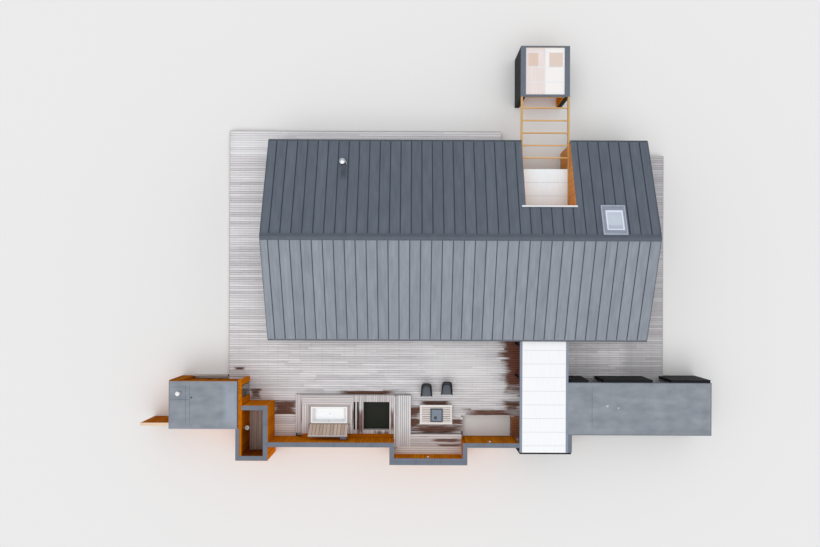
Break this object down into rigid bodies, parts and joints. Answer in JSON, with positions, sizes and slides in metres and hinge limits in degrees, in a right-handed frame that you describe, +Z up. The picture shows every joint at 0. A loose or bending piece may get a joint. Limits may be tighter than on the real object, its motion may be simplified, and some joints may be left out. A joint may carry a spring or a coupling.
{
  "type": "single-storey beach house",
  "caption": "Single-storey beach house with a seamed metal gable roof, notched entry with pergola, raised timber terrace, bath house, store, and screened seating.",
  "frame": {"origin": "centre of the house's footprint at ground level, on the underside of its floor slab", "axes": "+X east along the ridge, +Y north towards the entry, +Z up"},
  "size_m": [29.47, 21.64, 5.1094],
  "materials": {
    "concrete": "cast",
    "black_timber": "stained black, vertical boards",
    "cedar": "oiled boards",
    "dark_frames": "satin",
    "glazing": "clear",
    "roof_core": "sawn",
    "seamed_metal": "satin",
    "pale_trim": "satin",
    "stainless": "brushed",
    "opal_sheet": "opal",
    "larch": "oiled",
    "grey_trim": "satin",
    "roofing_felt": "slate grit",
    "white_plastic": "matt",
    "weathered_boards": "weathered silver",
    "deck_joists": "sawn",
    "tub_shell": "gloss",
    "chair_shell": "moulded black shell"
  },
  "bodies": {
    "house": {"foundation_slab": "concrete", "north_wall": "black_timber", "south_wall": "black_timber", "gable_walls": "black_timber", "recess_side_walls": "cedar", "recess_back_wall": "cedar", "front_door": "dark_frames", "window_frames": "dark_frames", "window_glass": "glazing", "roof_panels": "roof_core", "roof_sheet_north": "seamed_metal", "roof_sheet_south": "seamed_metal", "ridge_cap": "seamed_metal", "verge_trims": "seamed_metal", "gutters": "seamed_metal", "notch_flashing": "pale_trim", "skylight_frame": "pale_trim", "skylight_glass": "glazing", "flue": "stainless", "entry_canopy_sheets": "opal_sheet", "entry_canopy_bars": "pale_trim", "pergola_beams": "larch", "pergola_rafters": "larch", "gate_shelter_walls": "black_timber", "gate_shelter_roof": "opal_sheet", "garden_canopy_sheets": "opal_sheet", "garden_canopy_frame": "grey_trim", "garden_canopy_posts": "black_timber", "covered_way_end": "black_timber", "store_roof": "roofing_felt", "store_long_walls": "black_timber", "store_end_walls": "black_timber", "store_floor": "weathered_boards", "store_posts": "black_timber", "bath_house_roof": "roofing_felt", "bath_house_long_walls": "cedar", "bath_house_end_walls": "cedar", "bath_house_lintel": "cedar", "bath_house_fascia": "cedar", "bath_house_floor": "weathered_boards", "bath_door_hinges": "dark_frames", "roof_vent": "white_plastic", "shower_fitting": "stainless", "fence_panel": "cedar", "screen_walls": "cedar", "screen_returns": "cedar", "wall_copings": "grey_trim", "wall_lights": "white_plastic", "deck_boards": "weathered_boards", "deck_frame": "deck_joists", "spa_platform": "weathered_boards", "spa_tub": "tub_shell", "spa_cover_hinges": "dark_frames", "terrace_bench": "weathered_boards", "bench_backs": "weathered_boards", "fire_table": "weathered_boards", "lounge_chairs": "chair_shell"},
    "bath_door": {"bath_door_glass": "glazing", "bath_door_fittings": "dark_frames"},
    "spa_cover": {"spa_cover": "weathered_boards"}
  },
  "joints": [
    {"name": "bath_door_hinge", "type": "hinge", "parent": "house", "child": "bath_door", "pos_m": [-11.086, -7.535, 0.35], "axis": [0, 0, 1], "range_deg": [0, 90]},
    {"name": "spa_cover_hinge", "type": "hinge", "parent": "house", "child": "spa_cover", "pos_m": [-6.74, -9.74, 0.866], "axis": [-1, 0, 0], "range_deg": [0, 120]}
  ]
}
